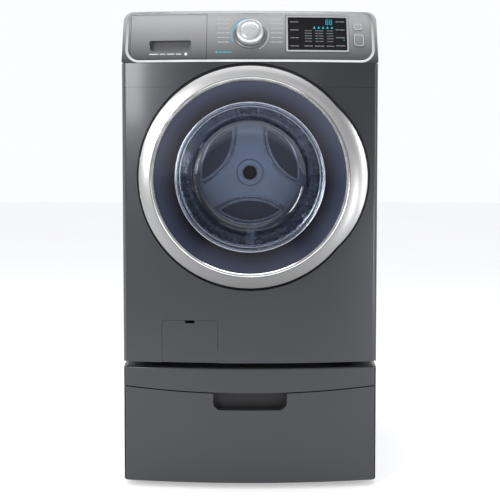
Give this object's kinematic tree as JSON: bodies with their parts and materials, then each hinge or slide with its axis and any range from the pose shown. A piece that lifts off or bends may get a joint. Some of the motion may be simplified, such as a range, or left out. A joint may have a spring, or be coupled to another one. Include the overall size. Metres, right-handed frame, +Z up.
{
  "type": "washing_machine",
  "caption": "Front load washing machine in graphite metallic paint, with a round silver-ringed door, a tilted control console and a matching pedestal with a storage drawer.",
  "frame": {"origin": "on the floor under the middle of the whole object", "axes": "+Z up, the door and console face -Y, +X is to the right seen from the front"},
  "size_m": [0.686, 0.8, 1.29],
  "materials": {
    "paint": "satin metallic",
    "console_paint": "satin metallic",
    "bright_trim": "polished",
    "door_silver": "brushed",
    "door_tint": "gloss",
    "clear_glass": "clear",
    "dark_glass": "gloss",
    "stainless": "brushed",
    "zinc_steel": "zinc plated",
    "cast_alloy": "cast",
    "dark_plastic": "moulded",
    "light_plastic": "moulded",
    "grey_rubber": "matte",
    "black_rubber": "matte",
    "weight": "cast",
    "board": "satin"
  },
  "bodies": {
    "cabinet": {"side_panel_left": "paint", "side_panel_right": "paint", "rear_panel": "zinc_steel", "rear_access_cover": "zinc_steel", "transit_caps": "dark_plastic", "rear_screws": "zinc_steel", "top_cover": "paint", "front_panel": "paint", "upper_front_panel": "paint", "base_pan": "zinc_steel", "leveling_feet": "dark_plastic", "control_console": "console_paint", "console_trim": "bright_trim", "display_window": "dark_glass", "display_bezel": "door_silver", "control_boards": "board", "dial_bezel": "bright_trim", "dispenser_housing": "light_plastic", "door_lock": "light_plastic", "hinge_bracket": "zinc_steel", "door_gasket": "grey_rubber", "drain_pump": "light_plastic", "inlet_valves": "light_plastic", "drain_outlet": "dark_plastic", "cord_gland": "dark_plastic", "damper_cylinders": "dark_plastic", "tub_springs": "zinc_steel", "spring_crossbar": "zinc_steel", "pedestal_case": "paint", "pedestal_top_rail": "paint", "drawer_rails": "zinc_steel"},
    "tub": {"tub_front": "light_plastic", "tub_rear": "light_plastic", "counterweight": "weight", "shaft_bearings": "zinc_steel", "motor_housing": "cast_alloy", "drive_belt": "black_rubber", "damper_rods": "zinc_steel"},
    "drum": {"drum_shell": "stainless", "drum_back": "stainless", "drum_baffles": "stainless", "drum_spider": "cast_alloy", "drum_pulley": "cast_alloy"},
    "rotor": {"motor_pulley": "zinc_steel"},
    "door": {"door_ring": "door_silver", "door_inner_trim": "bright_trim", "door_dish": "door_tint", "door_glass": "clear_glass", "door_back_frame": "dark_plastic", "door_hinge_arm": "zinc_steel"},
    "latch": {"door_latch_hook": "zinc_steel"},
    "detergent_drawer": {"dispenser_front": "console_paint", "dispenser_tray": "light_plastic"},
    "dial": {"selector_knob": "door_silver"},
    "power": {"power_button": "console_paint"},
    "start": {"start_button": "console_paint"},
    "hatch": {"filter_hatch": "paint"},
    "filter": {"filter_cap": "dark_plastic"},
    "storage_drawer": {"drawer_front": "paint", "drawer_box": "zinc_steel"}
  },
  "joints": [
    {"name": "tub_float", "type": "slide", "parent": "cabinet", "child": "tub", "axis": [0, 0, 1], "range_m": [-0.008, 0.008], "stiffness_N_per_m": 25000, "springref_m": 0.012, "deforming": ["tub_springs"]},
    {"name": "drum_spin", "type": "hinge", "parent": "tub", "child": "drum", "pos_m": [0, 0, 0.841], "axis": [0, 1, 0], "continuous": true},
    {"name": "motor_spin", "type": "hinge", "parent": "tub", "child": "rotor", "pos_m": [0.1, 0.3, 0.465], "axis": [0, 1, 0], "continuous": true},
    {"name": "door_swing", "type": "hinge", "parent": "cabinet", "child": "door", "pos_m": [-0.286, -0.368, 0.841], "axis": [0, 0, -1], "range_deg": [0, 120]},
    {"name": "latch_tilt", "type": "hinge", "parent": "door", "child": "latch", "pos_m": [0.277, -0.352, 0.841], "axis": [0, 0, 1], "range_deg": [-4, 4], "stiffness_Nm_per_rad": 0.5},
    {"name": "detergent_slide", "type": "slide", "parent": "cabinet", "child": "detergent_drawer", "axis": [0, -1, 0], "range_m": [0, 0.2]},
    {"name": "dial_turn", "type": "hinge", "parent": "cabinet", "child": "dial", "pos_m": [0, -0.33565, 1.22296], "axis": [0, -0.9135, 0.4067], "continuous": true},
    {"name": "power_press", "type": "slide", "parent": "cabinet", "child": "power", "axis": [-0.1343, 0.9053, -0.4031], "range_m": [0, 0.0015], "stiffness_N_per_m": 1500},
    {"name": "start_press", "type": "slide", "parent": "cabinet", "child": "start", "axis": [-0.1352, 0.9052, -0.403], "range_m": [0, 0.0015], "stiffness_N_per_m": 1500},
    {"name": "hatch_open", "type": "hinge", "parent": "cabinet", "child": "hatch", "pos_m": [-0.1615, -0.356, 0.348], "axis": [1, 0, 0], "range_deg": [0, 85]},
    {"name": "filter_turn", "type": "hinge", "parent": "cabinet", "child": "filter", "pos_m": [-0.1615, -0.29, 0.408], "axis": [0, 1, 0], "range_deg": [0, 180]},
    {"name": "storage_slide", "type": "slide", "parent": "cabinet", "child": "storage_drawer", "axis": [0, -1, 0], "range_m": [0, 0.45]}
  ],
  "couplings": [
    {"joint": "motor_spin", "follows": "drum_spin", "ratio": 12}
  ]
}
